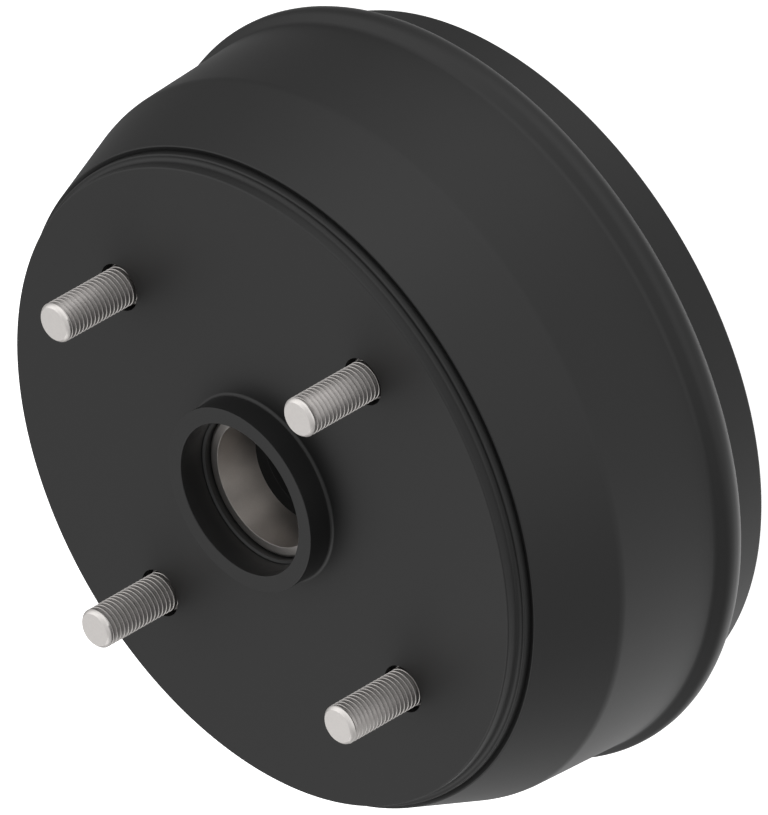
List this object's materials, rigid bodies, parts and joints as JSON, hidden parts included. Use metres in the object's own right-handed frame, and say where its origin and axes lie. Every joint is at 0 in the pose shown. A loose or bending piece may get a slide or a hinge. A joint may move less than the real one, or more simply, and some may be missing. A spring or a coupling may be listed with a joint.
{
  "type": "brake drum",
  "caption": "Cast-iron brake drum with built-in hub: wheel studs and a pilot collar carry the wheel, bearing cups run on the axle, and the bore is swept by brake shoes.",
  "frame": {"origin": "centre of the open rim's plane, on the axle line", "axes": "+Z along the axle line towards the wheel side, +X through the first wheel stud"},
  "size_m": [0.2316, 0.2316, 0.1193],
  "materials": {
    "black_iron": "satin black coating",
    "bearing_steel": "ground",
    "stud_steel": "zinc plated"
  },
  "bodies": {
    "root": {"brake_drum": "black_iron", "outer_bearing_cup": "bearing_steel", "inner_bearing_cup": "bearing_steel", "wheel_stud_1": "stud_steel", "wheel_stud_2": "stud_steel", "wheel_stud_3": "stud_steel", "wheel_stud_4": "stud_steel"}
  },
  "joints": []
}
